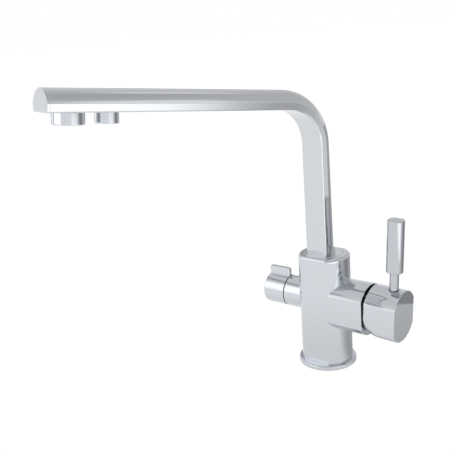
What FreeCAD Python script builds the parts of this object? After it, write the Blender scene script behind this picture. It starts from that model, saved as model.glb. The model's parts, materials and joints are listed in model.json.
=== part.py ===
import FreeCAD
import Part
import math
import os

# A three way kitchen tap: a mixer for hot and cold water on one side of the body, a valve for
# filtered water on the other, and one spout that carries both streams apart to two outlets.
# Millimetres. +Z is up, the origin is the centre of the base's seating face, the mixer points
# along +X, the filter valve along -X, and the spout, before its resting swivel, along -Y.

ORIGIN = FreeCAD.Vector(0, 0, 0)
X = FreeCAD.Vector(1, 0, 0)
Y = FreeCAD.Vector(0, 1, 0)
Z = FreeCAD.Vector(0, 0, 1)

# ---------------------------------------------------------------- clearances
slide_gap = 0.05        # radial gap of a piece that turns or slides in another
seat_gap = 0.02         # radial gap of a piece that is screwed or pushed home
moving_gap = 0.3        # free gap between pieces that only pass each other
cut_overrun = 1.0       # a cutting shape goes this far past the face it opens
same_place = 0.001      # lengths and places that differ by less are the same

# ---------------------------------------------------------------- body casting
body_radius = 24.0
body_half_flat = 20.0   # from the axis to the flat front and back
body_top = 108.4
body_edge_round = 3.2
body_flat_round = 2.2   # softens the border of each flat
barrel_end = 47.9       # from the post's axis to the end of the mixer barrel
barrel_edge_bevel = 0.4
mixer_height = 61.1
filter_height = 63.5
filter_radius = 15.1
stub_end = 37.6         # from the post's axis to the end of the filter stub

# ---------------------------------------------------------------- base
flange_radius = 27.3
flange_thickness = 4.2
flange_rim_round = 1.6
flange_bore_radius = 19.5
gasket_inner_radius = 22.6
gasket_outer_radius = 25.2
gasket_thickness = 1.6

# ---------------------------------------------------------------- inlets and studs in the base
port_circle_radius = 12.5
port_radius = 4.5       # M10 x 1 fine thread, wall of the tapped hole
port_depth = 12.0
hot_angle = 60.0
cold_angle = -60.0
filtered_angle = 180.0
stud_angles = (120.0, -120.0)
stud_radius = 3.4       # M8 thread, wall of the tapped hole
stud_depth = 14.0
passage_radius = 3.4
mixed_passage_radius = 2.4
mixed_passage_wall = 1.4    # left between the mixed water's way up and the cartridge's seat
passage_overrun = 1.0       # a drilled way goes this far past the middle of the one it meets

# ---------------------------------------------------------------- spout socket in the body
journal_radius = 12.9
journal_top_land = 3.9      # from the hub's flange to the first groove
journal_land = 1.6          # between two grooves, and below the last
hub_flange_radius = 17.75
hub_flange_depth = 2.5
hub_proud = 0.3         # the hub stands this much above the body's top
hub_bore_radius = 8.0
hub_tube_recess = 1.5   # how deep the spout tube stands in the hub
hub_rim_bevel = 0.5     # makes the seam round the hub show
ring_section_radius = 1.0
slide_ring_width = 2.2
slide_ring_depth = 1.2
retaining_groove_width = 4.4
retaining_groove_depth = 1.6
retaining_screw_radius = 2.5
retaining_screw_inset = 0.6
retaining_tip_radius = 1.7
retaining_tip_length = 1.4

# ---------------------------------------------------------------- spout
spout_flat_width = 25.6     # flat underside, with its rounded corners
spout_full_width = 27.0
spout_depth = 16.4          # from the flat to the crown, along the arm and round the bend
spout_foot_depth = 18.2     # the same at the riser's foot: the riser's back leans away from its flat
spout_widest_at = 6.0       # above the flat, where the sides meet the roof
spout_roof_radius = 15.0
spout_crown_radius = 8.0
spout_corner_radius = 1.5
spout_wall = 1.2
spout_front = 10.1          # from the swivel axis to the riser's flat
spout_corner_height = 242.0     # where the lines of the riser's flat and the arm's flat meet
spout_rise = 6.8            # the arm climbs towards the tip, degrees
spout_bend_radius = 35.0    # on the flat side
spout_reach = 240.6         # from that corner along the arm's flat to the tip
spout_rest_swivel = -15.0   # seen from above, clockwise from -Y
end_cap_thickness = 2.0

# ---------------------------------------------------------------- outlets under the arm
outlet_tip_margin = 7.6     # from the tip's face to the first outlet's sleeve
outlet_gap = 8.1            # between the two sleeves
mixed_outlet_radius = 11.6
mixed_outlet_drop = 8.5
mixed_outlet_wall = 1.9
mixed_thread_radius = 9.0
filtered_outlet_radius = 8.9
filtered_outlet_drop = 8.1
filtered_outlet_wall = 1.7
filtered_thread_radius = 6.2
outlet_edge_round = 0.9
outlet_bush_wall = 1.5
outlet_bush_cap = 1.2        # the filtered outlet's bush is closed round its tube
outlet_bush_height = 3.6
outlet_gasket_thickness = 1.2
insert_thickness = 3.0
insert_recess = 0.9         # the insert's face lies this far inside the rim
insert_hole_radius = 0.55
insert_rim = 3.0            # from the last ring of holes to the disc's edge
mixed_insert_rings = 3
filtered_insert_rings = 2

# ---------------------------------------------------------------- filtered water tube in the spout
inner_tube_radius = 3.0
inner_tube_bore = 2.0
inner_tube_seat_depth = 8.0
inner_tube_elbow_radius = 4.0
inner_ring_radius = 0.7

# ---------------------------------------------------------------- mixer cartridge
cartridge_radius = 17.5
cartridge_seat = 11.5       # from the post's axis to the bottom of the barrel's bore
seal_thickness = 1.0
seal_wall = 1.2
cartridge_base_thickness = 4.0
cartridge_bore = 15.0
ceramic_thickness = 3.5
fixed_disc_radius = 14.8
moving_disc_radius = 10.5
pocket_depth = 1.5
pocket_half_width = 7.0     # the part that uncovers the inlets
pocket_high = 1.6           # these three from the moving disc's middle
pocket_low = -4.6
pocket_throat_low = -8.4
pocket_throat_half = 2.5    # the part that stays over the outlet
inlet_offset_y = 8.0
inlet_offset_z = 3.5
outlet_offset_z = -7.5
inlet_radius = 2.5
outlet_radius = 3.0
carrier_plate_thickness = 3.0
carrier_half_width = 9.8
rotor_flange_thickness = 3.0
rotor_flange_radius = 14.5
rotor_neck_radius = 9.5
rotor_neck_bore = 8.2
housing_end_thickness = 3.8
nut_inner_radius = 10.8
nut_length = 6.6
nut_slots = 4
nut_slot_width = 3.0
nut_slot_depth = 2.5
nut_slot_wall = 2.0         # left outside each slot
mouth_radius = 19.0
mouth_ring_thickness = 0.6
mouth_ring_wall = 1.2
mouth_ring_length = 4.6

# ---------------------------------------------------------------- mixer knob and lever
knob_radius = 23.5
knob_gap = 2.0              # between the barrel's end and the knob
knob_length = 29.2
knob_edge_bevel = 0.5
knob_rear_round = 0.8
knob_cavity_radius = 17.5
knob_cavity_past_pivot = 8.5
knob_insert_thickness = 1.2
knob_lip = 0.9
tilt_travel = 25.0          # the knob tilts away from the body by this much, degrees
tilt_at_rest = 2.2          # how far it is tilted as it rests
spindle_arm = 12.0          # pivot to ball
spindle_ball_radius = 2.8
spindle_arm_radius = 1.8
spindle_boss_radius = 4.2
spindle_boss_half = 6.8     # half of its length on the pivot pin
spindle_half_square = 4.0
spindle_socket_depth = 6.5
pivot_pin_radius = 1.5
neck_past_pivot = 4.0
fork_wall = 1.9
fork_half_width = 3.0
fork_length = 7.0
lever_from_pivot = 6.9
stem_radius = 4.05
stem_thread_radius = 3.0
stem_seat_radius = 5.2
stem_seat_depth = 1.4
stem_in_grip = 14.0
grip_bottom = 101.2
grip_top = 148.6
grip_radius = 7.5
grip_half_flat = 6.5
grip_edge_bevel = 0.5
knob_screw_radius = 2.5
knob_screw_length = 8.0
knob_screw_from_pivot = 12.6
knob_plug_thickness = 2.2
hex_key_across = 2.5

# ---------------------------------------------------------------- filter valve
filter_bore = 9.6
filter_seat = 17.0          # from the post's axis to the bottom of the stub's bore
filter_washer_thickness = 1.5
filter_disc_radius = 7.4
filter_disc_thickness = 3.0
filter_pocket_depth = 1.4
filter_pocket_inset = 0.5
filter_port_offset = 4.5
filter_port_radius = 2.0
filter_bonnet_wall = 2.0
filter_head_across = 18.0
filter_head_length = 4.4
filter_neck_radius = 6.2
filter_neck_length = 4.0
filter_driver_thickness = 2.0
filter_spindle_radius = 4.0
filter_half_square = 3.0
filter_square_length = 10.0
filter_ring_at = 31.0
filter_ring_radius = 0.66
filter_seam = 1.1           # gap between the stub and its knob
filter_slide_ring_inset = 0.5
filter_knob_length = 22.6
filter_knob_edge_round = 0.7
filter_knob_cavity_radius = 10.9
filter_knob_cavity_depth = 10.6
fin_height = 7.6
fin_thickness = 3.3
fin_corner_round = 1.0
filter_screw_radius = 2.0
filter_screw_length = 8.0
filter_key_across = 2.0

# ---------------------------------------------------------------- places that follow from these
knob_half_flat = body_half_flat
knob_rear = barrel_end + knob_gap
relief_reach = math.sqrt(knob_radius ** 2 - knob_half_flat ** 2)
pivot_x = knob_rear + relief_reach
knob_end = knob_rear + knob_length
cavity_end = pivot_x + knob_cavity_past_pivot
base_front = cartridge_seat + seal_thickness + cartridge_base_thickness
fixed_front = base_front + ceramic_thickness
moving_front = fixed_front + ceramic_thickness
plate_front = moving_front + carrier_plate_thickness
rotor_rear = plate_front + moving_gap
rotor_front = rotor_rear + rotor_flange_thickness
housing_front = rotor_front + slide_gap + housing_end_thickness
nut_front = housing_front + nut_length
neck_end = pivot_x + neck_past_pivot
disc_travel = 2 * spindle_arm * math.sin(math.radians(tilt_travel / 2))
arm_at_rest = tilt_at_rest - tilt_travel / 2
disc_rest = spindle_arm * math.sin(math.radians(arm_at_rest))
hub_flange_top = body_top + hub_proud
hub_flange_bottom = body_top - hub_flange_depth
upper_seal_height = hub_flange_bottom - journal_top_land - ring_section_radius
slide_ring_height = upper_seal_height - ring_section_radius - journal_land - slide_ring_width / 2
lower_seal_height = slide_ring_height - slide_ring_width / 2 - journal_land - ring_section_radius
retaining_height = lower_seal_height - ring_section_radius - journal_land - retaining_groove_width / 2
journal_bottom = retaining_height - retaining_groove_width / 2 - journal_land
socket_floor = journal_bottom - moving_gap
inner_ring_height = socket_floor - inner_tube_seat_depth / 2
spout_turn = 90.0 - spout_rise
bend_tangent = spout_bend_radius * math.tan(math.radians(spout_turn / 2))
riser_end = spout_corner_height - bend_tangent
mixed_outlet_at = spout_reach - outlet_tip_margin - mixed_outlet_radius
filtered_outlet_at = mixed_outlet_at - mixed_outlet_radius - outlet_gap - filtered_outlet_radius
filter_knob_rear = stub_end + filter_seam
filter_knob_end = filter_knob_rear + filter_knob_length
filter_fixed_rear = filter_seat + filter_washer_thickness
filter_moving_rear = filter_fixed_rear + filter_disc_thickness
filter_driver_rear = filter_moving_rear + filter_disc_thickness
filter_neck_end = stub_end + filter_head_length + filter_neck_length


# ---------------------------------------------------------------- plain shapes
def rod(radius, start, direction, length):
    return Part.makeCylinder(radius, length, start, direction)


def ring(outer, inner, start, direction, length):
    return rod(outer, start, direction, length).cut(rod(inner, start, direction, length))


def round_ring(centre_radius, section_radius, centre, direction):
    return Part.makeTorus(centre_radius, section_radius, centre, direction)


def block(low, high):
    size = high - low
    return Part.makeBox(size.x, size.y, size.z, low)


def at_mixer(x, y=0.0, z=0.0):
    return FreeCAD.Vector(x, y, mixer_height + z)


def at_filter(x, y=0.0, z=0.0):
    return FreeCAD.Vector(-x, y, filter_height + z)


def join(shapes):
    whole = shapes[0]
    for shape in shapes[1:]:
        whole = whole.fuse(shape)
    return whole.removeSplitter()


def cut_all(shape, tools):
    for tool in tools:
        shape = shape.cut(tool)
    return shape


def between_flats(shape, half_flat):
    """What lies between a flat front and a flat back."""
    box = shape.BoundBox
    low = FreeCAD.Vector(box.XMin - 1, -half_flat, box.ZMin - 1)
    high = FreeCAD.Vector(box.XMax + 1, half_flat, box.ZMax + 1)
    return shape.common(block(low, high))


def two_flat_bar(radius, half_flat, start, direction, length):
    """A round bar with a flat at its front and its back."""
    return between_flats(rod(radius, start, direction, length), half_flat)


def edges_in_plane(shape, axis, place):
    """The edges that lie in the plane where the coordinate along the axis is the place."""
    found = []
    for edge in shape.Edges:
        if edge.Degenerated:
            continue
        heights = [point.dot(axis) for point in edge.discretize(5)]
        if max(abs(height - place) for height in heights) < same_place:
            found.append(edge)
    return found


def hex_socket(across, start, direction, depth):
    radius = across / math.sqrt(3)
    corners = []
    side = X if abs(direction.dot(X)) < 0.5 else Y
    other = direction.cross(side)
    for corner in range(7):
        angle = math.radians(60 * corner)
        corners.append(start + side * (radius * math.cos(angle)) + other * (radius * math.sin(angle)))
    return Part.Face(Part.makePolygon(corners)).extrude(direction * depth)


# ---------------------------------------------------------------- body and base
def port_place(angle):
    turn = math.radians(angle)
    return FreeCAD.Vector(port_circle_radius * math.cos(turn), port_circle_radius * math.sin(turn), 0)


def water_passages():
    tools = []
    for angle in (hot_angle, cold_angle, filtered_angle):
        tools.append(rod(port_radius, port_place(angle), Z, port_depth))
    for angle in stud_angles:
        tools.append(rod(stud_radius, port_place(angle), Z, stud_depth))
    for angle, side in ((hot_angle, 1), (cold_angle, -1)):
        foot = port_place(angle)
        inlet_height = mixer_height + inlet_offset_z
        tools.append(rod(passage_radius, foot, Z, inlet_height + passage_overrun))
        start = FreeCAD.Vector(foot.x, side * inlet_offset_y, inlet_height)
        tools.append(rod(inlet_radius, start, X, cartridge_seat - foot.x))
    mixed_x = cartridge_seat - mixed_passage_wall - mixed_passage_radius
    mixed_height = mixer_height + outlet_offset_z
    tools.append(rod(outlet_radius, FreeCAD.Vector(mixed_x, 0, mixed_height), X, cartridge_seat - mixed_x))
    mixed_foot = FreeCAD.Vector(mixed_x, 0, mixed_height - passage_overrun)
    tools.append(rod(mixed_passage_radius, mixed_foot, Z, socket_floor - mixed_foot.z))
    filtered_foot = port_place(filtered_angle)
    inlet_height = filter_height - filter_port_offset
    tools.append(rod(passage_radius, filtered_foot, Z, inlet_height + passage_overrun))
    start = FreeCAD.Vector(filtered_foot.x, 0, inlet_height)
    tools.append(rod(filter_port_radius, start, -X, filter_seat + filtered_foot.x))
    outlet = FreeCAD.Vector(0, 0, filter_height + filter_port_offset)
    tools.append(rod(filter_port_radius, outlet, -X, filter_seat))
    tube_seat = socket_floor - inner_tube_seat_depth
    rise_foot = outlet - Z * passage_overrun
    tools.append(rod(inner_tube_bore, rise_foot, Z, tube_seat - rise_foot.z))
    tube_foot = FreeCAD.Vector(0, 0, tube_seat)
    tools.append(rod(inner_tube_radius + slide_gap, tube_foot, Z, inner_tube_seat_depth))
    groove_radius = inner_tube_radius + 2 * inner_ring_radius + 2 * slide_gap
    groove_foot = FreeCAD.Vector(0, 0, inner_ring_height - inner_ring_radius - slide_gap)
    tools.append(rod(groove_radius, groove_foot, Z, 2 * (inner_ring_radius + slide_gap)))
    return tools


def make_tap_body():
    foot = FreeCAD.Vector(0, 0, flange_thickness)
    post = rod(body_radius, foot, Z, body_top - flange_thickness)
    post = post.makeFillet(body_edge_round, edges_in_plane(post, Z, body_top))
    post = between_flats(post, body_half_flat)
    borders = edges_in_plane(post, Y, body_half_flat) + edges_in_plane(post, Y, -body_half_flat)
    foot_edges = edges_in_plane(post, Z, flange_thickness)
    borders = [edge for edge in borders if not any(edge.isSame(other) for other in foot_edges)]
    post = post.makeFillet(body_flat_round, borders)
    barrel = two_flat_bar(body_radius, body_half_flat, at_mixer(0), X, barrel_end)
    barrel = barrel.makeChamfer(barrel_edge_bevel, edges_in_plane(barrel, X, barrel_end))
    stub = rod(filter_radius, at_filter(0), -X, stub_end)
    spigot = rod(flange_bore_radius - seat_gap, ORIGIN, Z, flange_thickness)
    casting = join([post, barrel, stub, spigot])
    cavities = [
        rod(cartridge_radius + seat_gap, at_mixer(cartridge_seat), X, barrel_end - cartridge_seat),
        rod(mouth_radius, at_mixer(nut_front), X, barrel_end - nut_front),
        rod(filter_bore, at_filter(filter_seat), -X, stub_end - filter_seat),
        rod(journal_radius + slide_gap, FreeCAD.Vector(0, 0, socket_floor), Z, body_top - socket_floor),
        rod(hub_flange_radius + slide_gap, FreeCAD.Vector(0, 0, hub_flange_bottom), Z, hub_flange_depth),
        rod(retaining_screw_radius, FreeCAD.Vector(0, 0, retaining_height), Y, body_half_flat),
    ]
    return cut_all(casting, cavities + water_passages())


def make_base_flange():
    disc = rod(flange_radius, ORIGIN, Z, flange_thickness)
    disc = disc.makeFillet(flange_rim_round, edges_in_plane(disc, Z, flange_thickness))
    disc = disc.cut(rod(flange_bore_radius, ORIGIN, Z, flange_thickness))
    groove = ring(gasket_outer_radius, gasket_inner_radius, ORIGIN, Z, gasket_thickness)
    return disc.cut(groove)


def make_base_gasket():
    return ring(gasket_outer_radius - seat_gap, gasket_inner_radius + seat_gap, ORIGIN, Z, gasket_thickness)


def make_spout_grub_screw():
    """The screw in the body's back whose tip runs in the groove of the spout's journal."""
    tip_start = journal_radius - retaining_groove_depth + moving_gap
    shank_start = tip_start + retaining_tip_length + moving_gap
    screw_end = body_half_flat - retaining_screw_inset
    tip_end = FreeCAD.Vector(0, tip_start, retaining_height)
    tip = rod(retaining_tip_radius, tip_end, Y, shank_start - tip_start)
    shank_radius = retaining_screw_radius - seat_gap
    shank_foot = FreeCAD.Vector(0, shank_start, retaining_height)
    shank = rod(shank_radius, shank_foot, Y, screw_end - shank_start)
    socket = hex_socket(hex_key_across, FreeCAD.Vector(0, screw_end, retaining_height), -Y, hex_key_across)
    return join([tip, shank]).cut(socket)


# ---------------------------------------------------------------- spout
def swivelled(shape):
    """Turns a piece of the spout from -Y to the direction that it rests in."""
    turned = shape.copy()
    turned.rotate(ORIGIN, Z, spout_rest_swivel)
    return turned


def spout_outline(outset=0.0, depth=spout_depth):
    """The spout's section in the ground plane: X across, and +Y from the flat to the crown."""
    half_flat = spout_flat_width / 2
    corner = spout_corner_radius
    shoulder = FreeCAD.Vector(spout_full_width / 2, spout_widest_at, 0)
    crown_centre = FreeCAD.Vector(0, depth - spout_crown_radius, 0)
    roof_centre = roof_arc_centre(shoulder, crown_centre)
    meet = math.atan2(crown_centre.y - roof_centre.y, crown_centre.x - roof_centre.x)
    lean = math.atan2(shoulder.y - roof_centre.y, shoulder.x - roof_centre.x)

    def roof_point(angle):
        return roof_centre + FreeCAD.Vector(math.cos(angle), math.sin(angle), 0) * spout_roof_radius

    def mirrored(point):
        return FreeCAD.Vector(-point.x, point.y, 0)

    short = corner * (1 - math.cos(math.radians(45)))
    foot = FreeCAD.Vector(half_flat - corner, 0, 0)
    turn = FreeCAD.Vector(half_flat - short, short, 0)
    heel = FreeCAD.Vector(half_flat, corner, 0)
    middle = roof_point((lean + meet) / 2)
    crown_end = roof_point(meet)
    crown_top = crown_centre + Y * spout_crown_radius
    face = Part.Face(Part.Wire([
        Part.Arc(foot, turn, heel).toShape(),
        Part.LineSegment(heel, shoulder).toShape(),
        Part.Arc(shoulder, middle, crown_end).toShape(),
        Part.Arc(crown_end, crown_top, mirrored(crown_end)).toShape(),
        Part.Arc(mirrored(crown_end), mirrored(middle), mirrored(shoulder)).toShape(),
        Part.LineSegment(mirrored(shoulder), mirrored(heel)).toShape(),
        Part.Arc(mirrored(heel), mirrored(turn), mirrored(foot)).toShape(),
        Part.LineSegment(mirrored(foot), foot).toShape(),
    ]))
    if outset:
        face = face.makeOffset2D(outset)
    face.translate(-Y * spout_front)
    return face


def roof_arc_centre(shoulder, crown_centre):
    """The centre of the arc that leaves the shoulder and runs smoothly into the crown."""
    across = crown_centre - shoulder
    apart = across.Length
    inner = spout_roof_radius - spout_crown_radius
    along = (spout_roof_radius ** 2 - inner ** 2 + apart ** 2) / (2 * apart)
    aside = math.sqrt(spout_roof_radius ** 2 - along ** 2)
    direction = across / apart
    sideways = FreeCAD.Vector(-direction.y, direction.x, 0)
    return shoulder + direction * along + sideways * aside


def spout_bar(outset, bottom, reach):
    """The section carried up the riser, round the bend and along the arm as one solid."""
    foot = spout_outline(outset, spout_foot_depth)
    foot.translate(Z * bottom)
    stub = foot.extrude(Z * (hub_flange_top - bottom))
    riser_foot = spout_outline(outset, spout_foot_depth)
    riser_foot.translate(Z * hub_flange_top)
    bend_foot = spout_outline(outset)
    bend_foot.translate(Z * riser_end)
    riser = Part.makeLoft([riser_foot.OuterWire, bend_foot.OuterWire], True, True)
    bend_axis = FreeCAD.Vector(0, -spout_front - spout_bend_radius, riser_end)
    bend = bend_foot.revolve(bend_axis, X, spout_turn)
    arm_foot = bend_foot.copy()
    arm_foot.rotate(bend_axis, X, spout_turn)
    arm = arm_foot.extrude(arm_along() * (reach - bend_tangent))
    return join([stub, riser, bend, arm])


def arm_along():
    rise = math.radians(spout_rise)
    return FreeCAD.Vector(0, -math.cos(rise), math.sin(rise))


def arm_up():
    rise = math.radians(spout_rise)
    return FreeCAD.Vector(0, math.sin(rise), math.cos(rise))


def on_arm(distance, height=0.0):
    """A point over the middle of the arm's flat, measured from the corner towards the tip."""
    corner = FreeCAD.Vector(0, -spout_front, spout_corner_height)
    return corner + arm_along() * distance + arm_up() * height


def make_spout_tube():
    tube_foot = hub_flange_top - hub_tube_recess
    tube_reach = spout_reach - end_cap_thickness
    outside = spout_bar(0, tube_foot, tube_reach)
    inside = spout_bar(-spout_wall, tube_foot, tube_reach)
    outlets = [
        rod(mixed_thread_radius, on_arm(mixed_outlet_at), arm_up(), spout_wall),
        rod(filtered_thread_radius, on_arm(filtered_outlet_at), arm_up(), spout_wall),
    ]
    return cut_all(outside.cut(inside), outlets)


def make_spout_end_cap():
    start = spout_reach - end_cap_thickness
    face = spout_outline()
    face.translate(Y * spout_front)
    face.rotate(ORIGIN, X, spout_turn)
    face.translate(on_arm(start))
    return face.extrude(arm_along() * end_cap_thickness)


def make_spout_hub():
    """The turned foot of the spout: a journal in the body's socket and a flange on top."""
    foot = FreeCAD.Vector(0, 0, journal_bottom)
    journal = rod(journal_radius, foot, Z, hub_flange_bottom - foot.z)
    shoulder = FreeCAD.Vector(0, 0, hub_flange_bottom)
    flange = rod(hub_flange_radius, shoulder, Z, hub_flange_top - hub_flange_bottom)
    flange = flange.makeChamfer(hub_rim_bevel, edges_in_plane(flange, Z, hub_flange_top))
    hub = join([journal, flange])
    recess_floor = hub_flange_top - hub_tube_recess
    recess = spout_outline(seat_gap, spout_foot_depth)
    recess.translate(Z * recess_floor)
    throat = spout_outline(-spout_wall, spout_foot_depth)
    throat.translate(Z * hub_flange_bottom)
    tools = [
        rod(hub_bore_radius, foot, Z, hub_flange_bottom - foot.z),
        throat.extrude(Z * (recess_floor - hub_flange_bottom)),
        recess.extrude(Z * hub_tube_recess),
        journal_groove(retaining_height, retaining_groove_width, retaining_groove_depth),
        journal_groove(slide_ring_height, slide_ring_width + slide_gap, slide_ring_depth),
    ]
    for height in (lower_seal_height, upper_seal_height):
        tools.append(journal_groove(height, 2 * ring_section_radius + slide_gap, 2 * ring_section_radius))
    return cut_all(hub, tools)


def journal_groove(height, width, depth):
    foot = FreeCAD.Vector(0, 0, height - width / 2)
    return ring(journal_radius + slide_gap, journal_radius - depth, foot, Z, width)


def make_hub_seal_rings():
    centre = journal_radius + seat_gap - ring_section_radius
    rings = []
    for height in (lower_seal_height, upper_seal_height):
        rings.append(round_ring(centre, ring_section_radius, FreeCAD.Vector(0, 0, height), Z))
    return Part.makeCompound(rings)


def make_hub_slide_ring():
    foot = FreeCAD.Vector(0, 0, slide_ring_height - slide_ring_width / 2)
    return ring(journal_radius + seat_gap, journal_radius - slide_ring_depth, foot, Z, slide_ring_width)


def inner_tube_path():
    """The filtered water's way: up the swivel axis, round the bend, and down into its outlet."""
    tube_height = spout_front
    bend = spout_bend_radius + tube_height
    bend_centre = FreeCAD.Vector(0, -bend, riser_end)
    foot = FreeCAD.Vector(0, 0, socket_floor - inner_tube_seat_depth + slide_gap)
    bend_start = FreeCAD.Vector(0, 0, riser_end)
    half_turn = math.radians(spout_turn / 2)
    bend_middle = bend_centre + FreeCAD.Vector(0, bend * math.cos(half_turn), bend * math.sin(half_turn))
    bend_end = on_arm(bend_tangent, tube_height)
    elbow = inner_tube_elbow_radius
    elbow_start = on_arm(filtered_outlet_at - elbow, tube_height)
    slant = elbow * (1 - math.cos(math.radians(45)))
    elbow_middle = on_arm(filtered_outlet_at - slant, tube_height - slant)
    elbow_end = on_arm(filtered_outlet_at, tube_height - elbow)
    tube_end = on_arm(filtered_outlet_at, spout_wall + outlet_bush_height)
    return Part.Wire([
        Part.LineSegment(foot, bend_start).toShape(),
        Part.Arc(bend_start, bend_middle, bend_end).toShape(),
        Part.LineSegment(bend_end, elbow_start).toShape(),
        Part.Arc(elbow_start, elbow_middle, elbow_end).toShape(),
        Part.LineSegment(elbow_end, tube_end).toShape(),
    ])


def swept_round(path, radius):
    start = path.Edges[0].Vertexes[0].Point
    section = Part.Wire([Part.makeCircle(radius, start, Z)])
    return path.makePipeShell([section], True, False)


def make_filtered_tube():
    path = inner_tube_path()
    return swept_round(path, inner_tube_radius).cut(swept_round(path, inner_tube_bore))


def make_filtered_tube_ring():
    centre = inner_tube_radius + slide_gap + inner_ring_radius
    return round_ring(centre, inner_ring_radius, FreeCAD.Vector(0, 0, inner_ring_height), Z)


def make_outlet_bush(at, thread_radius):
    """The threaded bush that is soldered inside the arm over an outlet's hole."""
    start = on_arm(at, spout_wall)
    return ring(thread_radius + outlet_bush_wall, thread_radius, start, arm_up(), outlet_bush_height)


def make_filtered_outlet_bush():
    """The filtered outlet's bush has a top, where the filtered water's tube comes in."""
    bush = make_outlet_bush(filtered_outlet_at, filtered_thread_radius)
    top = on_arm(filtered_outlet_at, spout_wall + outlet_bush_height)
    outer = filtered_thread_radius + outlet_bush_wall
    return join([bush, ring(outer, inner_tube_radius, top, arm_up(), outlet_bush_cap)])


def make_outlet_housing(at, radius, drop, wall, thread_radius):
    """The chromed sleeve under the arm, with its thread up in the bush."""
    rim = on_arm(at, -drop)
    sleeve = rod(radius, rim, arm_up(), drop)
    rim_edges = []
    for edge in sleeve.Edges:
        if (edge.CenterOfMass - rim).Length < same_place:
            rim_edges.append(edge)
    sleeve = sleeve.makeFillet(outlet_edge_round, rim_edges)
    neck = rod(thread_radius - seat_gap, on_arm(at), arm_up(), spout_wall + outlet_bush_height)
    body = join([sleeve, neck])
    chamber_top = insert_recess + insert_thickness + outlet_gasket_thickness
    chamber = rod(radius - wall, rim, arm_up(), chamber_top)
    throat = rod(thread_radius - wall, rim, arm_up(), drop + spout_wall + outlet_bush_height)
    return cut_all(body, [chamber, throat])


def make_outlet_insert(at, radius, drop, wall, rings):
    """The flow straightener: a disc with rings of fine holes."""
    start = on_arm(at, -drop + insert_recess)
    disc_radius = radius - wall - seat_gap
    disc = rod(disc_radius, start, arm_up(), insert_thickness)
    pitch = (disc_radius - insert_rim) / rings
    holes = [rod(insert_hole_radius, start, arm_up(), insert_thickness)]
    for ring_number in range(1, rings + 1):
        count = 6 * ring_number
        for number in range(count):
            angle = 2 * math.pi * number / count
            spot = start + X * (ring_number * pitch * math.cos(angle))
            spot = spot + arm_along() * (ring_number * pitch * math.sin(angle))
            holes.append(rod(insert_hole_radius, spot, arm_up(), insert_thickness))
    return disc.cut(Part.makeCompound(holes))


def make_outlet_gasket(at, radius, drop, wall, thread_radius):
    start = on_arm(at, -drop + insert_recess + insert_thickness)
    return ring(radius - wall - seat_gap, thread_radius - wall, start, arm_up(), outlet_gasket_thickness)


# ---------------------------------------------------------------- mixer cartridge
cartridge_ports = (
    (inlet_radius, inlet_offset_y, inlet_offset_z),
    (inlet_radius, -inlet_offset_y, inlet_offset_z),
    (outlet_radius, 0.0, outlet_offset_z),
)


def port_holes(start_x, length):
    """The two inlets and the outlet through the layers at the cartridge's foot."""
    return [rod(radius, at_mixer(start_x, y, z), X, length) for radius, y, z in cartridge_ports]


def make_cartridge_seals():
    seals = []
    for radius, y, z in cartridge_ports:
        start = at_mixer(cartridge_seat, y, z)
        seals.append(ring(radius + seal_wall, radius, start, X, seal_thickness))
    return Part.makeCompound(seals)


def make_cartridge_base():
    start = cartridge_seat + seal_thickness
    disc = rod(cartridge_bore - seat_gap, at_mixer(start), X, cartridge_base_thickness)
    return cut_all(disc, port_holes(start, cartridge_base_thickness))


def make_cartridge_fixed_disc():
    disc = rod(fixed_disc_radius, at_mixer(base_front), X, ceramic_thickness)
    return cut_all(disc, port_holes(base_front, ceramic_thickness))


def make_cartridge_housing():
    """The shell round the discs, with an end wall that the rotor's neck passes through."""
    shell = rod(cartridge_radius, at_mixer(cartridge_seat), X, housing_front - cartridge_seat)
    inner_end = housing_front - housing_end_thickness
    return cut_all(shell, [
        rod(cartridge_bore, at_mixer(cartridge_seat), X, inner_end - cartridge_seat),
        rod(rotor_neck_radius + slide_gap, at_mixer(inner_end), X, housing_end_thickness),
    ])


def make_cartridge_nut():
    body = ring(cartridge_radius, nut_inner_radius, at_mixer(housing_front), X, nut_length)
    half = nut_slot_width / 2
    slots = []
    for number in range(nut_slots):
        slot = block(
            at_mixer(nut_front - nut_slot_depth, -half, nut_inner_radius - cut_overrun),
            at_mixer(nut_front, half, cartridge_radius - nut_slot_wall))
        slot.rotate(at_mixer(0), X, number * 360 / nut_slots)
        slots.append(slot)
    return cut_all(body, slots)


def make_mouth_ring():
    """The black ring that lines the barrel's mouth and covers the nut."""
    outer = mouth_radius - seat_gap
    cover = ring(outer, rotor_neck_radius + moving_gap, at_mixer(nut_front), X, mouth_ring_thickness)
    wall = ring(outer, outer - mouth_ring_wall, at_mixer(nut_front), X, mouth_ring_length)
    return join([cover, wall])


def make_rotor():
    """Turns with the lever: a flange and guide lugs behind, and a neck that holds the pivot."""
    flange = rod(rotor_flange_radius, at_mixer(rotor_rear), X, rotor_flange_thickness)
    neck = rod(rotor_neck_radius, at_mixer(rotor_rear), X, neck_end - rotor_rear)
    lugs_rear = moving_front + slide_gap
    lugs = rod(rotor_flange_radius, at_mixer(lugs_rear), X, rotor_rear - lugs_rear)
    guide = carrier_half_width + slide_gap
    reach = cartridge_radius
    lugs = lugs.cut(block(at_mixer(moving_front, -guide, -reach), at_mixer(rotor_rear, guide, reach)))
    rotor = join([flange, neck, lugs])
    pin_reach = 2 * rotor_neck_radius
    return cut_all(rotor, [
        rod(rotor_neck_bore, at_mixer(rotor_rear), X, neck_end - rotor_rear),
        rod(pivot_pin_radius + seat_gap, at_mixer(pivot_x, -rotor_neck_radius), Y, pin_reach),
    ])


def make_pivot_pin():
    half = rotor_neck_radius - moving_gap
    return rod(pivot_pin_radius, at_mixer(pivot_x, -half), Y, 2 * half)


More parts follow.
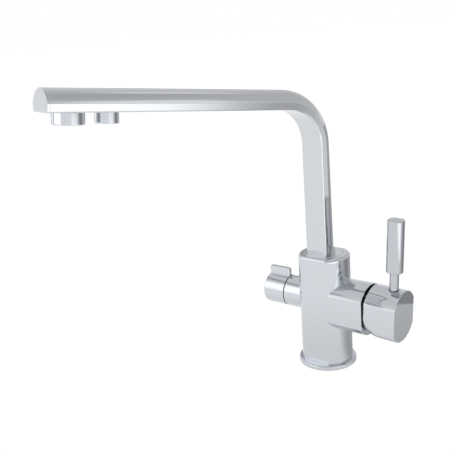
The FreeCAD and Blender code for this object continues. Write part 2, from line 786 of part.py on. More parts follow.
def ball_centre(arm_angle):
    """The spindle's ball, with its arm at an angle from level."""
    turn = math.radians(arm_angle)
    return at_mixer(pivot_x - spindle_arm * math.cos(turn), 0, spindle_arm * math.sin(turn))


def make_disc_carrier():
    """Slides in the rotor's guide: a plate on the moving disc, a stem, and a fork for the ball."""
    plate = rod(moving_disc_radius, at_mixer(moving_front, 0, disc_rest), X, carrier_plate_thickness)
    guide = carrier_half_width
    reach = 2 * moving_disc_radius
    plate = plate.common(block(at_mixer(moving_front, -guide, -reach), at_mixer(plate_front, guide, reach)))
    ball = ball_centre(arm_at_rest)
    fork_start = ball.x - fork_length / 2 - fork_wall
    fork_end = ball.x + fork_length / 2 - fork_wall / 2
    fork_half = spindle_ball_radius + slide_gap + fork_wall
    fork = block(
        at_mixer(fork_start, -fork_half_width, disc_rest - fork_half),
        at_mixer(fork_end, fork_half_width, disc_rest + fork_half))
    stem = block(
        at_mixer(plate_front, -fork_half_width, disc_rest - fork_wall),
        at_mixer(fork_start, fork_half_width, disc_rest + fork_wall))
    slot_half = spindle_ball_radius + slide_gap
    slot = block(
        at_mixer(fork_start + fork_wall, -fork_half_width, disc_rest - slot_half),
        at_mixer(fork_end, fork_half_width, disc_rest + slot_half))
    return join([plate, stem, fork]).cut(slot)


def make_moving_disc():
    disc = rod(moving_disc_radius, at_mixer(fixed_front, 0, disc_rest), X, ceramic_thickness)
    pocket_front = fixed_front + pocket_depth
    pocket = join([
        block(
            at_mixer(fixed_front, -pocket_half_width, disc_rest + pocket_low),
            at_mixer(pocket_front, pocket_half_width, disc_rest + pocket_high)),
        block(
            at_mixer(fixed_front, -pocket_throat_half, disc_rest + pocket_throat_low),
            at_mixer(pocket_front, pocket_throat_half, disc_rest + pocket_high)),
    ])
    return disc.cut(pocket)


# ---------------------------------------------------------------- mixer knob and lever, modelled closed
def tilted(shape):
    """Turns a piece of the lever about its pivot from closed to where it rests."""
    turned = shape.copy()
    turned.rotate(at_mixer(pivot_x), Y, tilt_at_rest)
    return turned


def knob_form(inset, start, length):
    """The knob's outside: a bar with two flats whose lower back is a ball round the pivot."""
    bar = two_flat_bar(knob_radius - inset, knob_half_flat - inset, at_mixer(start), X, length)
    ball = Part.makeSphere(knob_radius - inset, at_mixer(pivot_x))
    reach = 2 * knob_radius
    low_back = block(at_mixer(start - cut_overrun, -reach, -reach), at_mixer(pivot_x, reach, 0))
    return bar.cut(low_back.cut(ball))


def rear_rim(form):
    """The knob's edges towards the barrel: the straight mouth, and where its ball meets the flats."""
    rim = edges_in_plane(form, X, knob_rear)
    for flat in (knob_half_flat, -knob_half_flat):
        for edge in edges_in_plane(form, Y, flat):
            if edge.Curve.TypeId == "Part::GeomCircle":
                rim.append(edge)
    return rim


def make_mixer_knob():
    form = knob_form(0, knob_rear, knob_length)
    form = form.makeChamfer(knob_edge_bevel, edges_in_plane(form, X, knob_end))
    form = form.makeFillet(knob_rear_round, rear_rim(form))
    stem_x = pivot_x + lever_from_pivot
    screw_x = pivot_x + knob_screw_from_pivot
    side = spindle_half_square + seat_gap
    socket_end = cavity_end + spindle_socket_depth
    tools = [
        rod(knob_cavity_radius, at_mixer(knob_rear), X, cavity_end - knob_rear),
        knob_form(knob_lip, knob_rear - cut_overrun, cut_overrun + knob_insert_thickness),
        block(at_mixer(cavity_end, -side, -side), at_mixer(socket_end, side, side)),
        rod(stem_thread_radius, at_mixer(stem_x, 0, knob_cavity_radius), Z, knob_radius),
        rod(stem_seat_radius, at_mixer(stem_x, 0, knob_radius - stem_seat_depth), Z, knob_radius),
        rod(knob_screw_radius, at_mixer(screw_x), -Z, knob_radius),
    ]
    return cut_all(form, tools)


def make_knob_insert():
    """The black plastic ring in the knob's back."""
    plate = knob_form(knob_lip + seat_gap, knob_rear, knob_insert_thickness)
    return plate.cut(rod(knob_cavity_radius, at_mixer(knob_rear), X, knob_insert_thickness))


def make_lever_spindle():
    """The spindle on the pivot pin: a ball that drives the discs, and a square in the knob."""
    pivot = at_mixer(pivot_x)
    ball_at = ball_centre(-tilt_travel / 2)
    ball = Part.makeSphere(spindle_ball_radius, ball_at)
    arm = rod(spindle_arm_radius, ball_at, (pivot - ball_at).normalize(), spindle_arm)
    boss_foot = at_mixer(pivot_x, -spindle_boss_half)
    boss = rod(spindle_boss_radius, boss_foot, Y, 2 * spindle_boss_half)
    side = spindle_half_square
    square_end = cavity_end + spindle_socket_depth - moving_gap
    square = block(at_mixer(pivot_x, -side, -side), at_mixer(square_end, side, side))
    spindle = join([ball, arm, boss, square])
    return spindle.cut(rod(pivot_pin_radius + slide_gap, boss_foot, Y, 2 * spindle_boss_half))


def make_knob_grub_screw():
    start = at_mixer(pivot_x + knob_screw_from_pivot, 0, -spindle_half_square)
    screw = rod(knob_screw_radius - seat_gap, start, -Z, knob_screw_length)
    return screw.cut(hex_socket(hex_key_across, start - Z * knob_screw_length, Z, hex_key_across))


def make_knob_plug():
    """The little plug that closes the grub screw's hole under the knob."""
    x = pivot_x + knob_screw_from_pivot
    top = at_mixer(x, 0, -knob_radius + knob_plug_thickness)
    plug = rod(knob_screw_radius - seat_gap, top, -Z, knob_radius)
    return plug.common(rod(knob_radius, at_mixer(x - knob_screw_radius), X, 2 * knob_screw_radius))


def make_lever_stem():
    stem_x = pivot_x + lever_from_pivot
    seat = at_mixer(stem_x, 0, knob_radius - stem_seat_depth)
    shaft = rod(stem_radius, seat, Z, grip_bottom - seat.z)
    thread_foot = at_mixer(stem_x, 0, knob_cavity_radius + moving_gap)
    lower_thread = rod(stem_thread_radius - seat_gap, thread_foot, Z, seat.z - thread_foot.z)
    grip_foot = FreeCAD.Vector(stem_x, 0, grip_bottom)
    upper_thread = rod(stem_thread_radius - seat_gap, grip_foot, Z, stem_in_grip)
    return join([lower_thread, shaft, upper_thread])


def make_lever_grip():
    foot = FreeCAD.Vector(pivot_x + lever_from_pivot, 0, grip_bottom)
    grip = two_flat_bar(grip_radius, grip_half_flat, foot, Z, grip_top - grip_bottom)
    rims = edges_in_plane(grip, Z, grip_top) + edges_in_plane(grip, Z, grip_bottom)
    grip = grip.makeChamfer(grip_edge_bevel, rims)
    return grip.cut(rod(stem_thread_radius, foot, Z, stem_in_grip))


# ---------------------------------------------------------------- filter valve
def make_filter_bonnet():
    """The valve's brass body, screwed into the stub."""
    outer = filter_bore - seat_gap
    barrel = rod(outer, at_filter(filter_fixed_rear), -X, stub_end - filter_fixed_rear)
    head = hex_socket(filter_head_across, at_filter(stub_end), -X, filter_head_length)
    neck = rod(filter_neck_radius, at_filter(stub_end), -X, filter_neck_end - stub_end)
    bonnet = join([barrel, head, neck])
    chamber_end = filter_driver_rear + filter_driver_thickness + slide_gap
    groove_width = 2 * filter_ring_radius + slide_gap
    groove_start = at_filter(filter_ring_at - groove_width / 2)
    return cut_all(bonnet, [
        rod(outer - filter_bonnet_wall, at_filter(filter_fixed_rear), -X, chamber_end - filter_fixed_rear),
        rod(filter_spindle_radius + slide_gap, at_filter(chamber_end), -X, filter_neck_end - chamber_end),
        ring(filter_bore, outer - 2 * filter_ring_radius, groove_start, -X, groove_width),
    ])


def make_filter_bonnet_ring():
    centre = filter_bore - seat_gap - filter_ring_radius
    return round_ring(centre, filter_ring_radius, at_filter(filter_ring_at), X)


def filter_ports(start, length):
    return [
        rod(filter_port_radius, at_filter(start, 0, filter_port_offset), -X, length),
        rod(filter_port_radius, at_filter(start, 0, -filter_port_offset), -X, length),
    ]


def make_filter_washer():
    disc = rod(filter_bore - seat_gap, at_filter(filter_seat), -X, filter_washer_thickness)
    return cut_all(disc, filter_ports(filter_seat, filter_washer_thickness))


def make_filter_fixed_disc():
    disc = rod(filter_disc_radius, at_filter(filter_fixed_rear), -X, filter_disc_thickness)
    return cut_all(disc, filter_ports(filter_fixed_rear, filter_disc_thickness))


def make_filter_moving_disc():
    disc = rod(filter_disc_radius, at_filter(filter_moving_rear), -X, filter_disc_thickness)
    pocket_front = filter_moving_rear + filter_pocket_depth
    half_long = filter_port_offset + filter_port_radius - filter_pocket_inset
    pocket = block(
        at_filter(pocket_front, -half_long, -filter_port_radius),
        at_filter(filter_moving_rear, half_long, filter_port_radius))
    return disc.cut(pocket)


def make_filter_spindle():
    driver = rod(filter_disc_radius - slide_gap, at_filter(filter_driver_rear), -X, filter_driver_thickness)
    shaft_length = filter_neck_end - filter_driver_rear
    shaft = rod(filter_spindle_radius, at_filter(filter_driver_rear), -X, shaft_length)
    side = filter_half_square
    square_end = filter_neck_end + filter_square_length
    square = block(at_filter(square_end, -side, -side), at_filter(filter_neck_end, side, side))
    return join([driver, shaft, square])


def make_filter_slide_ring():
    outer = filter_radius - filter_slide_ring_inset
    inner = filter_knob_cavity_radius
    return ring(outer, inner, at_filter(stub_end), -X, filter_seam - slide_gap)


def make_filter_knob():
    body = rod(filter_radius, at_filter(filter_knob_rear), -X, filter_knob_length)
    body = body.makeFillet(filter_knob_edge_round, edges_in_plane(body, X, -filter_knob_end))
    fin_half = fin_thickness / 2
    fin = block(
        at_filter(filter_knob_end, -fin_half, 0),
        at_filter(filter_knob_rear, fin_half, filter_radius + fin_height))
    corners = []
    for edge in fin.Edges:
        middle = edge.CenterOfMass
        at_top = middle.z > filter_height + filter_radius
        across = abs(edge.Length - fin_thickness) < same_place
        if at_top and across:
            corners.append(edge)
    fin = fin.makeFillet(fin_corner_round, corners)
    knob = join([body, fin])
    side = filter_half_square + seat_gap
    cavity_floor = filter_knob_rear + filter_knob_cavity_depth
    socket_end = filter_neck_end + filter_square_length + moving_gap
    return cut_all(knob, [
        rod(filter_knob_cavity_radius, at_filter(filter_knob_rear), -X, filter_knob_cavity_depth),
        block(at_filter(socket_end, -side, -side), at_filter(cavity_floor, side, side)),
        rod(filter_screw_radius, at_filter(filter_screw_place()), -Z, filter_radius),
    ])


def filter_screw_place():
    cavity_floor = filter_knob_rear + filter_knob_cavity_depth
    return (cavity_floor + filter_neck_end + filter_square_length) / 2


def make_filter_knob_screw():
    start = at_filter(filter_screw_place(), 0, -filter_half_square)
    screw = rod(filter_screw_radius - seat_gap, start, -Z, filter_screw_length)
    return screw.cut(hex_socket(filter_key_across, start - Z * filter_screw_length, Z, filter_key_across))


# ---------------------------------------------------------------- the whole tap
mixed_outlet = (mixed_outlet_at, mixed_outlet_radius, mixed_outlet_drop, mixed_outlet_wall)
filtered_outlet = (filtered_outlet_at, filtered_outlet_radius, filtered_outlet_drop, filtered_outlet_wall)

fixed_nodes = {
    "tap_body": make_tap_body,
    "base_flange": make_base_flange,
    "base_gasket": make_base_gasket,
    "spout_grub_screw": make_spout_grub_screw,
    "filtered_tube_ring": make_filtered_tube_ring,
    "cartridge_seals": make_cartridge_seals,
    "cartridge_base": make_cartridge_base,
    "cartridge_fixed_disc": make_cartridge_fixed_disc,
    "cartridge_housing": make_cartridge_housing,
    "cartridge_nut": make_cartridge_nut,
    "mouth_ring": make_mouth_ring,
    "cartridge_rotor": make_rotor,
    "pivot_pin": make_pivot_pin,
    "disc_carrier": make_disc_carrier,
    "cartridge_moving_disc": make_moving_disc,
    "filter_bonnet": make_filter_bonnet,
    "filter_bonnet_ring": make_filter_bonnet_ring,
    "filter_washer": make_filter_washer,
    "filter_fixed_disc": make_filter_fixed_disc,
    "filter_moving_disc": make_filter_moving_disc,
    "filter_spindle": make_filter_spindle,
    "filter_slide_ring": make_filter_slide_ring,
    "filter_knob": make_filter_knob,
    "filter_knob_screw": make_filter_knob_screw,
}

lever_nodes = {
    "mixer_knob": make_mixer_knob,
    "knob_insert": make_knob_insert,
    "lever_spindle": make_lever_spindle,
    "knob_grub_screw": make_knob_grub_screw,
    "knob_plug": make_knob_plug,
    "lever_stem": make_lever_stem,
    "lever_grip": make_lever_grip,
}

spout_nodes = {
    "spout_tube": make_spout_tube,
    "spout_end_cap": make_spout_end_cap,
    "spout_hub": make_spout_hub,
    "hub_seal_rings": make_hub_seal_rings,
    "hub_slide_ring": make_hub_slide_ring,
    "filtered_tube": make_filtered_tube,
    "mixed_outlet_bush": lambda: make_outlet_bush(mixed_outlet_at, mixed_thread_radius),
    "mixed_outlet_housing": lambda: make_outlet_housing(*mixed_outlet, mixed_thread_radius),
    "mixed_outlet_insert": lambda: make_outlet_insert(*mixed_outlet, mixed_insert_rings),
    "mixed_outlet_gasket": lambda: make_outlet_gasket(*mixed_outlet, mixed_thread_radius),
    "filtered_outlet_bush": make_filtered_outlet_bush,
    "filtered_outlet_housing": lambda: make_outlet_housing(*filtered_outlet, filtered_thread_radius),
    "filtered_outlet_insert": lambda: make_outlet_insert(*filtered_outlet, filtered_insert_rings),
    "filtered_outlet_gasket": lambda: make_outlet_gasket(*filtered_outlet, filtered_thread_radius),
}


def main():
    os.makedirs("parts", exist_ok=True)
    nodes = {}
    for name, make in fixed_nodes.items():
        nodes[name] = make()
    for name, make in lever_nodes.items():
        nodes[name] = tilted(make())
    for name, make in spout_nodes.items():
        nodes[name] = swivelled(make())
    for name, shape in nodes.items():
        print(name, len(shape.Solids), shape.isValid(), round(shape.Volume, 1))
        shape.exportStep("parts/" + name + ".step")
    print("lever's pivot: x", round(pivot_x, 3), "z", mixer_height)
    print("discs: travel", round(disc_travel, 3), "place at rest", round(disc_rest, 3))


main()
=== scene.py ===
import bpy
import json
import math
from mathutils import Matrix, Vector

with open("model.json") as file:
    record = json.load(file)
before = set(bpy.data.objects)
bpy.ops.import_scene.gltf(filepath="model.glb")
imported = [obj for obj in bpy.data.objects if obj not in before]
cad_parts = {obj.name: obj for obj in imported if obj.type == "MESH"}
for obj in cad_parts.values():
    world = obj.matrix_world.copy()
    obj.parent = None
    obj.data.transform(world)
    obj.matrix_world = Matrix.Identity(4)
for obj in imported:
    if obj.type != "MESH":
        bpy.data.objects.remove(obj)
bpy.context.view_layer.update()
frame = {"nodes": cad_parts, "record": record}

scene = bpy.context.scene
scene.view_settings.view_transform = "Standard"


# ---------------------------------------------------------------- camera
CAMERA_AZIMUTH = math.radians(40.468)
CAMERA_ELEVATION = math.radians(16.085)
CAMERA_ROLL = math.radians(-4.672)
CAMERA_PLACE = Vector((0.31186, -0.50370, 0.31134))
SENSOR_MM = 36.0
LENS_MM = 53.14
NEAREST_SEEN = 0.01         # metres in front of the camera


def make_camera():
    azimuth, elevation, roll = CAMERA_AZIMUTH, CAMERA_ELEVATION, CAMERA_ROLL
    back = Vector((
        math.sin(azimuth) * math.cos(elevation),
        -math.cos(azimuth) * math.cos(elevation),
        math.sin(elevation)))
    level = Vector((math.cos(azimuth), math.sin(azimuth), 0))
    upright = back.cross(level)
    right = level * math.cos(roll) + upright * math.sin(roll)
    up = upright * math.cos(roll) - level * math.sin(roll)
    data = bpy.data.cameras.new("camera")
    data.sensor_width = SENSOR_MM
    data.lens = LENS_MM
    data.clip_start = NEAREST_SEEN
    camera = bpy.data.objects.new("camera", data)
    turn = Matrix((right, up, back)).transposed().to_4x4()
    camera.matrix_world = Matrix.Translation(CAMERA_PLACE) @ turn
    scene.collection.objects.link(camera)
    scene.camera = camera


make_camera()


# ---------------------------------------------------------------- node helpers
def new_material(name):
    material = bpy.data.materials.new(name)
    material.use_nodes = True
    nodes = material.node_tree.nodes
    shader = nodes["Principled BSDF"]
    return material, material.node_tree, shader


def add_node(tree, kind, **settings):
    node = tree.nodes.new(kind)
    for key, value in settings.items():
        setattr(node, key, value)
    return node


def noise(tree, scale, detail=2.0):
    """A noise from 0 to 1, with its scale in waves to a metre."""
    where = add_node(tree, "ShaderNodeTexCoord")
    texture = add_node(tree, "ShaderNodeTexNoise")
    texture.inputs["Scale"].default_value = scale
    texture.inputs["Detail"].default_value = detail
    tree.links.new(where.outputs["Object"], texture.inputs["Vector"])
    return texture.outputs["Fac"]


NOISE_LOW, NOISE_HIGH = 0.35, 0.65      # most of a noise lies between these


def spread(tree, value, low, high):
    """Maps a noise value to a range."""
    node = add_node(tree, "ShaderNodeMapRange")
    node.inputs["From Min"].default_value = NOISE_LOW
    node.inputs["From Max"].default_value = NOISE_HIGH
    node.inputs["To Min"].default_value = low
    node.inputs["To Max"].default_value = high
    tree.links.new(value, node.inputs["Value"])
    return node.outputs["Result"]


def bump(tree, value, height, under=None):
    node = add_node(tree, "ShaderNodeBump")
    node.inputs["Distance"].default_value = height
    node.inputs["Strength"].default_value = 1.0
    tree.links.new(value, node.inputs["Height"])
    if under is not None:
        tree.links.new(under, node.inputs["Normal"])
    return node.outputs["Normal"]


def math_node(tree, operation, first, second, clamp=False):
    node = add_node(tree, "ShaderNodeMath", operation=operation, use_clamp=clamp)
    for value, socket in zip((first, second), node.inputs):
        if isinstance(value, (int, float)):
            socket.default_value = value
        else:
            tree.links.new(value, socket)
    return node.outputs[0]


def smooth_ramp(tree, value, start, end):
    """0 to 1 as a value goes from start to end, with no hard corner."""
    node = add_node(tree, "ShaderNodeMapRange", interpolation_type="SMOOTHSTEP")
    node.inputs["From Min"].default_value = start
    node.inputs["From Max"].default_value = end
    tree.links.new(value, node.inputs["Value"])
    return node.outputs["Result"]


def glow_node(tree, color=(1, 1, 1)):
    node = add_node(tree, "ShaderNodeEmission")
    node.inputs["Color"].default_value = (*color, 1)
    return node


def set_surface(tree, shader_output):
    tree.links.new(shader_output, tree.nodes["Material Output"].inputs["Surface"])


# ---------------------------------------------------------------- finishes
# Noise scales are waves to a metre, heights and radii are metres.
CHROME_COLOR = (0.62, 0.643, 0.68)
CHROME_ROUGHNESS = (0.03, 0.07)
CHROME_HAZE_SCALE = 90.0
CHROME_WAVE_SCALE = 28.0
CHROME_WAVE_HEIGHT = 0.00004
CHROME_EDGE_RADIUS = 0.0004
CHROME_EDGE_SAMPLES = 6

PLASTIC_MOTTLE_SCALE = 160.0
PLASTIC_MOTTLE_SHADE = 0.88             # the darker patches' share of the colour
PLASTIC_GLOSS_SCALE = 400.0
PLASTIC_ROUGHNESS_SPAN = 0.12
PLASTIC_GRAIN_SCALE = 900.0
PLASTIC_GRAIN_HEIGHT = 0.00002

TURNED_GLOSS_SCALE = 500.0
TURNED_ROUGHNESS_SPAN = 0.15
TURNED_GRAIN_SCALE = 1500.0
TURNED_GRAIN_HEIGHT = 0.00001


def metal(name, color):
    material, tree, shader = new_material(name)
    shader.inputs["Base Color"].default_value = (*color, 1)
    shader.inputs["Metallic"].default_value = 1.0
    return material, tree, shader


def chrome(name, color=CHROME_COLOR, roughness=CHROME_ROUGHNESS, wave_height=CHROME_WAVE_HEIGHT):
    """Polished chrome plate: faint polishing haze, a slightly uneven surface, softened edges."""
    material, tree, shader = metal(name, color)
    haze = spread(tree, noise(tree, CHROME_HAZE_SCALE, 4.0), *roughness)
    tree.links.new(haze, shader.inputs["Roughness"])
    round_edge = add_node(tree, "ShaderNodeBevel", samples=CHROME_EDGE_SAMPLES)
    round_edge.inputs["Radius"].default_value = CHROME_EDGE_RADIUS
    waves = noise(tree, CHROME_WAVE_SCALE, 1.0)
    uneven = bump(tree, waves, wave_height, under=round_edge.outputs["Normal"])
    tree.links.new(uneven, shader.inputs["Normal"])
    return material


def plastic(name, color, roughness):
    material, tree, shader = new_material(name)
    mottle = add_node(tree, "ShaderNodeMix", data_type="RGBA")
    patches = spread(tree, noise(tree, PLASTIC_MOTTLE_SCALE, 3.0), 0.0, 1.0)
    tree.links.new(patches, mottle.inputs["Factor"])
    mottle.inputs["A"].default_value = (*color, 1)
    mottle.inputs["B"].default_value = (*[channel * PLASTIC_MOTTLE_SHADE for channel in color], 1)
    tree.links.new(mottle.outputs["Result"], shader.inputs["Base Color"])
    gloss = noise(tree, PLASTIC_GLOSS_SCALE)
    uneven_gloss = spread(tree, gloss, roughness, roughness + PLASTIC_ROUGHNESS_SPAN)
    tree.links.new(uneven_gloss, shader.inputs["Roughness"])
    grain = bump(tree, noise(tree, PLASTIC_GRAIN_SCALE), PLASTIC_GRAIN_HEIGHT)
    tree.links.new(grain, shader.inputs["Normal"])
    return material


def turned_metal(name, color, roughness):
    material, tree, shader = metal(name, color)
    gloss = noise(tree, TURNED_GLOSS_SCALE, 4.0)
    uneven_gloss = spread(tree, gloss, roughness, roughness + TURNED_ROUGHNESS_SPAN)
    tree.links.new(uneven_gloss, shader.inputs["Roughness"])
    grain = bump(tree, noise(tree, TURNED_GRAIN_SCALE), TURNED_GRAIN_HEIGHT)
    tree.links.new(grain, shader.inputs["Normal"])
    return material


# ---------------------------------------------------------------- materials
materials = {
    "chromed_brass": chrome("polished_chrome"),
    "chromed_tube": chrome("polished_chrome_tube", color=(0.62, 0.637, 0.66), wave_height=0.00006),
    "bare_brass": turned_metal("turned_brass", (0.78, 0.60, 0.30), 0.25),
    "screw_steel": turned_metal("screw_steel", (0.48, 0.48, 0.49), 0.3),
    "seal_rubber": plastic("seal_rubber", (0.02, 0.02, 0.02), 0.55),
    "disc_ceramic": plastic("disc_ceramic", (0.88, 0.87, 0.82), 0.15),
    "black_plastic": plastic("black_plastic", (0.012, 0.012, 0.013), 0.45),
    "cartridge_plastic": plastic("cartridge_plastic", (0.55, 0.55, 0.53), 0.4),
    "pale_plastic": plastic("pale_plastic", (0.72, 0.73, 0.75), 0.35),
    "grey_plug": plastic("grey_plug", (0.5, 0.5, 0.52), 0.3),
}

# The lever's plate is a little darker and duller than the rest.
LEVER_NODES = ("lever_grip", "lever_stem")
lever_chrome = chrome("polished_chrome_lever", color=(0.53, 0.55, 0.58), roughness=(0.05, 0.12))

slot_of = {part["node"]: part["material_slot"] for part in frame["record"]["subparts"]}
for node_name, node in frame["nodes"].items():
    node.data.materials.clear()
    finish = lever_chrome if node_name in LEVER_NODES else materials[slot_of[node_name]]
    node.data.materials.append(finish)


# ---------------------------------------------------------------- directions and panels
# An azimuth goes from -Y towards +X. Directions, and how far apart two of them are, are in degrees.
def direction(azimuth, elevation):
    turn, rise = math.radians(azimuth), math.radians(elevation)
    level = math.cos(rise)
    return Vector((math.sin(turn) * level, -math.cos(turn) * level, math.sin(rise)))


def toward(tree, vector, azimuth, elevation, fade):
    """0 to 1 as a vector's direction comes nearer to the given one, over the fade's two angles."""
    unit = add_node(tree, "ShaderNodeVectorMath", operation="NORMALIZE")
    tree.links.new(vector, unit.inputs[0])
    dot = add_node(tree, "ShaderNodeVectorMath", operation="DOT_PRODUCT")
    tree.links.new(unit.outputs["Vector"], dot.inputs[0])
    dot.inputs[1].default_value = direction(azimuth, elevation)
    start, end = [math.cos(math.radians(angle)) for angle in fade]
    return smooth_ramp(tree, dot.outputs["Value"], start, end)


def plane(name, width, height):
    half_x, half_y = width / 2, height / 2
    mesh = bpy.data.meshes.new(name)
    corners = [(-half_x, -half_y, 0), (half_x, -half_y, 0), (half_x, half_y, 0), (-half_x, half_y, 0)]
    mesh.from_pydata(corners, [], [(0, 1, 2, 3)])
    obj = bpy.data.objects.new(name, mesh)
    scene.collection.objects.link(obj)
    return obj


STUDIO_MIDDLE = (0, 0, 0.15)


def face_from(obj, azimuth, elevation, distance, target=STUDIO_MIDDLE):
    """Puts an upright panel at a distance from the target, in a direction, facing the target."""
    outward = direction(azimuth, elevation)
    obj.location = Vector(target) + outward * distance
    obj.rotation_mode = "QUATERNION"
    obj.rotation_quaternion = outward.to_track_quat("Z", "Y")


# ---------------------------------------------------------------- floor
FLOOR_SIDE = 200.0
FLOOR_COLOR = (0.9, 0.9, 0.9)
FLOOR_ROUGHNESS = 0.9
FLOOR_GLOW = 1.10
FLOOR_GLOW_SHARE = 0.85     # of what the camera and metal see; the rest is lit and shows shadows

# Painted shade on the floor that only metal sees, as a loss of brightness: light falling off behind
# the tap, and the tap's own shadow. Distances from the tap are in metres.
# A fade is where a loss starts and where it is full: degrees off its azimuth, or a distance.
FAR_SIDE_AZIMUTH = 150      # behind the tap, on the right
FLOOR_FAR_SIDE = 0.52       # painted shade on that side, where the light falls off behind the tap
FLOOR_FAR_SIDE_FADE = (75, 20)
FLOOR_BEYOND = 0.14         # more painted shade on that side, past about 0.2 m from the tap
FLOOR_BEYOND_FADE = (0.198, 0.202)
FLOOR_STRIPE = 0.19         # more of it, the tap's painted shadow: a broad stripe that runs away from the tap, past about 0.2 m
FLOOR_STRIPE_AZIMUTH = 141
FLOOR_STRIPE_FADE = (16, 10)
FLOOR_FOOT_SHADOW = 0.16      # painted shadow close round the tap's foot
FLOOR_FOOT_SHADOW_FADE = (0.20, 0.04)


def floor_painted_shade(tree):
    """Painted shade: how much less metal sees of the floor, by place."""
    place = add_node(tree, "ShaderNodeTexCoord").outputs["Object"]
    length = add_node(tree, "ShaderNodeVectorMath", operation="LENGTH")
    tree.links.new(place, length.inputs[0])
    reach = length.outputs["Value"]
    far_side = toward(tree, place, FAR_SIDE_AZIMUTH, 0, FLOOR_FAR_SIDE_FADE)
    # more painted shade on the far side, past about 0.2 m from the tap
    beyond = smooth_ramp(tree, reach, *FLOOR_BEYOND_FADE)
    # painted shadow round the tap's foot
    under = smooth_ramp(tree, reach, *FLOOR_FOOT_SHADOW_FADE)
    # the tap's painted shadow, a stripe running away from it
    stripe = toward(tree, place, FLOOR_STRIPE_AZIMUTH, 0, FLOOR_STRIPE_FADE)
    total = math_node(tree, "MULTIPLY", far_side, FLOOR_FAR_SIDE)
    for loss, most in (
            (math_node(tree, "MULTIPLY", beyond, far_side), FLOOR_BEYOND),
            (under, FLOOR_FOOT_SHADOW),
            (math_node(tree, "MULTIPLY", beyond, stripe), FLOOR_STRIPE)):
        total = math_node(tree, "ADD", total, math_node(tree, "MULTIPLY", loss, most))
    return total


def make_floor():
    floor = plane("floor", FLOOR_SIDE, FLOOR_SIDE)
    material, tree, shader = new_material("floor_white")
    shader.inputs["Base Color"].default_value = (*FLOOR_COLOR, 1)
    shader.inputs["Roughness"].default_value = FLOOR_ROUGHNESS
    ray = add_node(tree, "ShaderNodeLightPath").outputs
    mirrored = math_node(tree, "ADD", ray["Is Glossy Ray"], ray["Is Transmission Ray"], True)
    seen = math_node(tree, "ADD", ray["Is Camera Ray"], mirrored, True)
    # Painted shade: metal sees the floor's glow dimmed by place.
    loss = math_node(tree, "MULTIPLY", floor_painted_shade(tree), mirrored)
    glow = glow_node(tree)
    tree.links.new(math_node(tree, "SUBTRACT", FLOOR_GLOW, loss), glow.inputs["Strength"])
    mix = add_node(tree, "ShaderNodeMixShader")
    tree.links.new(math_node(tree, "MULTIPLY", seen, FLOOR_GLOW_SHARE), mix.inputs["Fac"])
    tree.links.new(shader.outputs["BSDF"], mix.inputs[1])
    tree.links.new(glow.outputs["Emission"], mix.inputs[2])
    set_surface(tree, mix.outputs["Shader"])
    floor.data.materials.append(material)


# ---------------------------------------------------------------- studio round it
# The studio's brightness by the height of a direction: elevation in degrees, brightness.
SKY_STEPS = ((3, 1.0), (12, 0.80), (40, 0.74), (58, 0.64))
SKY_FAR_SIDE = 0.14         # how much darker it is behind the tap, on the right
SKY_FAR_SIDE_ELEVATION = 30
SKY_FAR_SIDE_FADE = (60, 20)
SKY_LEFT_ROOF = 0.22        # how much brighter it is high up on the left
SKY_LEFT_ROOF_AZIMUTH = -70
SKY_LEFT_ROOF_ELEVATION = 60
SKY_LEFT_ROOF_FADE = (60, 15)


def sky_ramp(tree, height):
    """The brightness of SKY_STEPS by the sine of the elevation."""
    ramp = add_node(tree, "ShaderNodeValToRGB")
    ramp.color_ramp.interpolation = "EASE"
    elements = ramp.color_ramp.elements
    while len(elements) < len(SKY_STEPS):
        elements.new(0.5)       # its place is set just below
    for element, (elevation, level) in zip(elements, SKY_STEPS):
        element.position = math.sin(math.radians(elevation))
        element.color = (level, level, level, 1)
    tree.links.new(height, ramp.inputs["Fac"])
    return ramp.outputs["Color"]


def make_world():
    world = bpy.data.worlds.new("studio")
    world.use_nodes = True
    scene.world = world
    tree = world.node_tree
    where = add_node(tree, "ShaderNodeTexCoord").outputs["Generated"]
    parts = add_node(tree, "ShaderNodeSeparateXYZ")
    tree.links.new(where, parts.inputs[0])
    far_side = toward(tree, where, FAR_SIDE_AZIMUTH, SKY_FAR_SIDE_ELEVATION, SKY_FAR_SIDE_FADE)
    left_roof = toward(
        tree, where, SKY_LEFT_ROOF_AZIMUTH, SKY_LEFT_ROOF_ELEVATION, SKY_LEFT_ROOF_FADE)
    darker = math_node(tree, "MULTIPLY", far_side, SKY_FAR_SIDE)
    brighter = math_node(tree, "MULTIPLY", left_roof, SKY_LEFT_ROOF)
    strength = math_node(tree, "ADD", math_node(tree, "SUBTRACT", brighter, darker), 1.0)
    background = tree.nodes["Background"].inputs
    tree.links.new(sky_ramp(tree, parts.outputs["Z"]), background["Color"])
    tree.links.new(strength, background["Strength"])


# ---------------------------------------------------------------- lamps and cards
# Places on a lamp are shares of its side.
LAMP_MIDDLE = 0.5
LAMP_FADE = (0.5, 0.2)      # from the middle: where its light starts, and where it is full


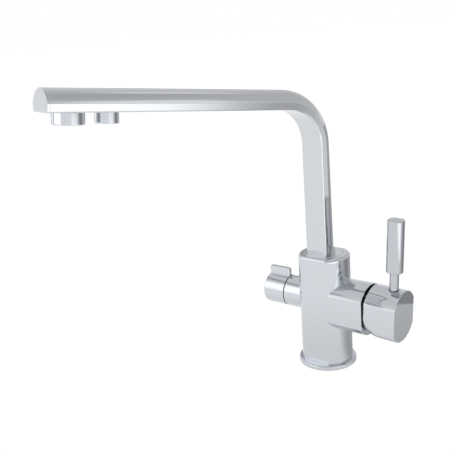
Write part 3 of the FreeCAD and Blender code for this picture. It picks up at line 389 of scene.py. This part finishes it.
def lamp_falloff(tree):
    """1 in a lamp's middle, fading to 0 at its edges."""
    place = add_node(tree, "ShaderNodeNewGeometry")
    parts = add_node(tree, "ShaderNodeSeparateXYZ")
    tree.links.new(place.outputs["Parametric"], parts.inputs[0])
    fades = []
    for axis in ("X", "Y"):
        offset = math_node(tree, "SUBTRACT", parts.outputs[axis], LAMP_MIDDLE)
        from_middle = math_node(tree, "ABSOLUTE", offset, 0.0)
        fades.append(smooth_ramp(tree, from_middle, *LAMP_FADE))
    return math_node(tree, "MULTIPLY", *fades)


def soft_lamp(name, azimuth, elevation, distance, size, radiance, target=STUDIO_MIDDLE):
    """A soft box: bright in its middle and fading to its edges."""
    width, height = size
    data = bpy.data.lights.new(name, "AREA")
    data.shape = "RECTANGLE"
    data.size, data.size_y = width, height
    data.energy = radiance * math.pi * width * height
    data.use_nodes = True
    tree = data.node_tree
    tree.links.new(lamp_falloff(tree), tree.nodes["Emission"].inputs["Strength"])
    lamp = bpy.data.objects.new(name, data)
    face_from(lamp, azimuth, elevation, distance, target)
    lamp.visible_camera = False
    scene.collection.objects.link(lamp)


def mirror_card(name, azimuth, elevation, distance, size, level):
    """A grey card that only metal sees, as a photographer sets one up beside a shiny thing."""
    card = plane(name, *size)
    face_from(card, azimuth, elevation, distance)
    material, tree, shader = new_material(name)
    set_surface(tree, glow_node(tree, (level, level, level)).outputs["Emission"])
    tree.nodes.remove(shader)
    card.data.materials.append(material)
    card.visible_camera = False
    card.visible_diffuse = False
    card.visible_shadow = False


ARM_TIP_SIDE = (-0.06, -0.24, 0.27)     # a place near the arm's tip, for the lamp that lights it

make_floor()
make_world()
soft_lamp("key", azimuth=-36, elevation=18, distance=1.4, size=(1.9, 1.3), radiance=0.72)
soft_lamp("key_core", azimuth=-8, elevation=4, distance=1.4, size=(0.6, 0.5), radiance=0.5)
soft_lamp("right_high", azimuth=108, elevation=38, distance=1.2, size=(0.6, 0.5), radiance=0.4)
soft_lamp(
    "right_low", azimuth=97, elevation=-22, distance=0.5, size=(0.62, 0.42), radiance=0.65,
    target=ARM_TIP_SIDE)
soft_lamp("roof_streak", azimuth=-169, elevation=57, distance=1.4, size=(0.5, 0.55), radiance=0.26)
mirror_card("left_flag", azimuth=-48, elevation=2, distance=1.2, size=(0.12, 0.35), level=0.12)
mirror_card("roof_flag", azimuth=-78, elevation=50, distance=1.3, size=(1.3, 0.11), level=0.5)
mirror_card("back_flag", azimuth=-137, elevation=16, distance=1.4, size=(0.6, 0.42), level=0.45)
